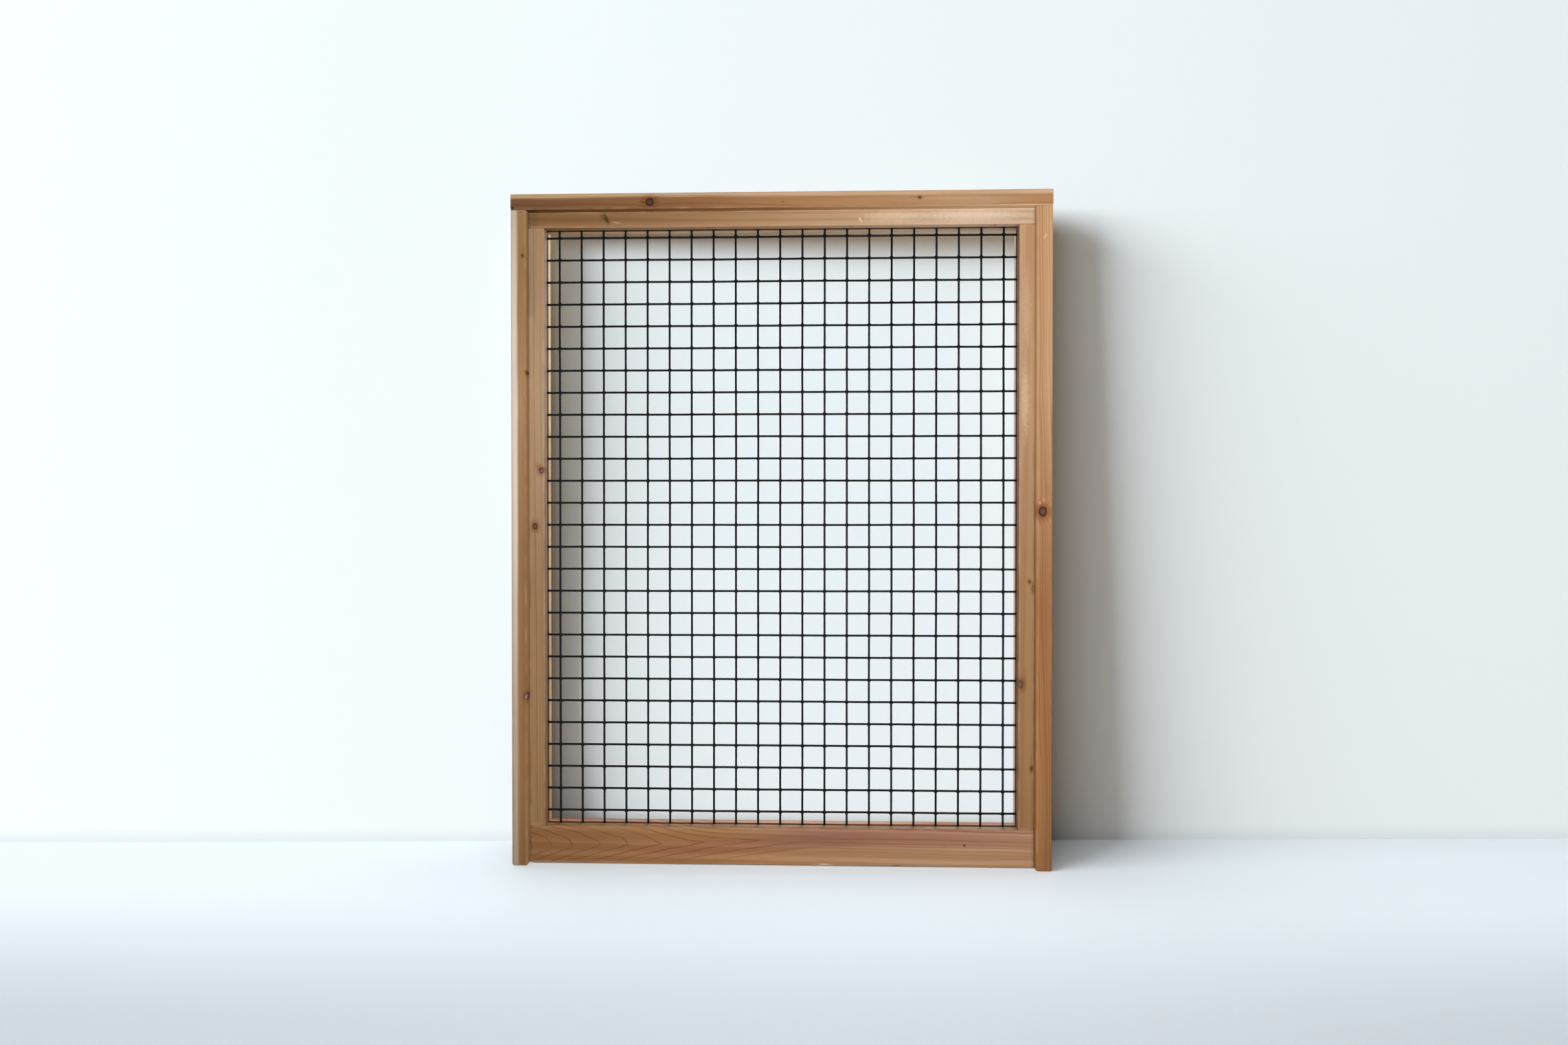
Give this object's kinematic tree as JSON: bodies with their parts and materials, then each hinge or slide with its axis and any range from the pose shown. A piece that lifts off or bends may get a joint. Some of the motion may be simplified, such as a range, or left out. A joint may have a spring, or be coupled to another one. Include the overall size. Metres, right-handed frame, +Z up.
{
  "type": "queen excluder",
  "caption": "Flat cedar frame with a raised rim on three sides, holding a square mesh of black coated wire in its grooves; lies between hive boxes as an excluder screen.",
  "frame": {"origin": "middle of the board's footprint on the surface that it stands on", "axes": "+Z up the board from its open end to the cap, +X along the cap, +Y from the rim's front towards the back"},
  "size_m": [0.4064, 0.0254, 0.508],
  "materials": {
    "cedar_cap": "planed red cedar, unfinished, pale sapwood along the upper edge",
    "cedar_left_outer_stile": "planed red cedar, unfinished, pale sapwood along the outer edge",
    "cedar_right_outer_stile": "planed red cedar, unfinished",
    "cedar_top_rail": "planed red cedar, unfinished",
    "cedar_inner_stiles": "planed red cedar, unfinished",
    "cedar_bottom_rail": "planed flat-sawn red cedar, unfinished",
    "black_coated_wire": "steel wire in a satin black coating",
    "darkened_steel": "darkened steel"
  },
  "bodies": {
    "root": {"top_cap": "cedar_cap", "left_outer_stile": "cedar_left_outer_stile", "right_outer_stile": "cedar_right_outer_stile", "top_rail": "cedar_top_rail", "left_inner_stile": "cedar_inner_stiles", "right_inner_stile": "cedar_inner_stiles", "bottom_rail": "cedar_bottom_rail", "upright_wire_01": "black_coated_wire", "upright_wire_02": "black_coated_wire", "upright_wire_03": "black_coated_wire", "upright_wire_04": "black_coated_wire", "upright_wire_05": "black_coated_wire", "upright_wire_06": "black_coated_wire", "upright_wire_07": "black_coated_wire", "upright_wire_08": "black_coated_wire", "upright_wire_09": "black_coated_wire", "upright_wire_10": "black_coated_wire", "upright_wire_11": "black_coated_wire", "upright_wire_12": "black_coated_wire", "upright_wire_13": "black_coated_wire", "upright_wire_14": "black_coated_wire", "upright_wire_15": "black_coated_wire", "upright_wire_16": "black_coated_wire", "upright_wire_17": "black_coated_wire", "upright_wire_18": "black_coated_wire", "upright_wire_19": "black_coated_wire", "upright_wire_20": "black_coated_wire", "upright_wire_21": "black_coated_wire", "cross_wire_01": "black_coated_wire", "cross_wire_02": "black_coated_wire", "cross_wire_03": "black_coated_wire", "cross_wire_04": "black_coated_wire", "cross_wire_05": "black_coated_wire", "cross_wire_06": "black_coated_wire", "cross_wire_07": "black_coated_wire", "cross_wire_08": "black_coated_wire", "cross_wire_09": "black_coated_wire", "cross_wire_10": "black_coated_wire", "cross_wire_11": "black_coated_wire", "cross_wire_12": "black_coated_wire", "cross_wire_13": "black_coated_wire", "cross_wire_14": "black_coated_wire", "cross_wire_15": "black_coated_wire", "cross_wire_16": "black_coated_wire", "cross_wire_17": "black_coated_wire", "cross_wire_18": "black_coated_wire", "cross_wire_19": "black_coated_wire", "cross_wire_20": "black_coated_wire", "cross_wire_21": "black_coated_wire", "cross_wire_22": "black_coated_wire", "cross_wire_23": "black_coated_wire", "cross_wire_24": "black_coated_wire", "cross_wire_25": "black_coated_wire", "cross_wire_26": "black_coated_wire", "cross_wire_27": "black_coated_wire", "cap_brad_1": "darkened_steel", "cap_brad_2": "darkened_steel", "cap_brad_3": "darkened_steel", "cap_brad_4": "darkened_steel", "stile_brad": "darkened_steel"}
  },
  "joints": []
}
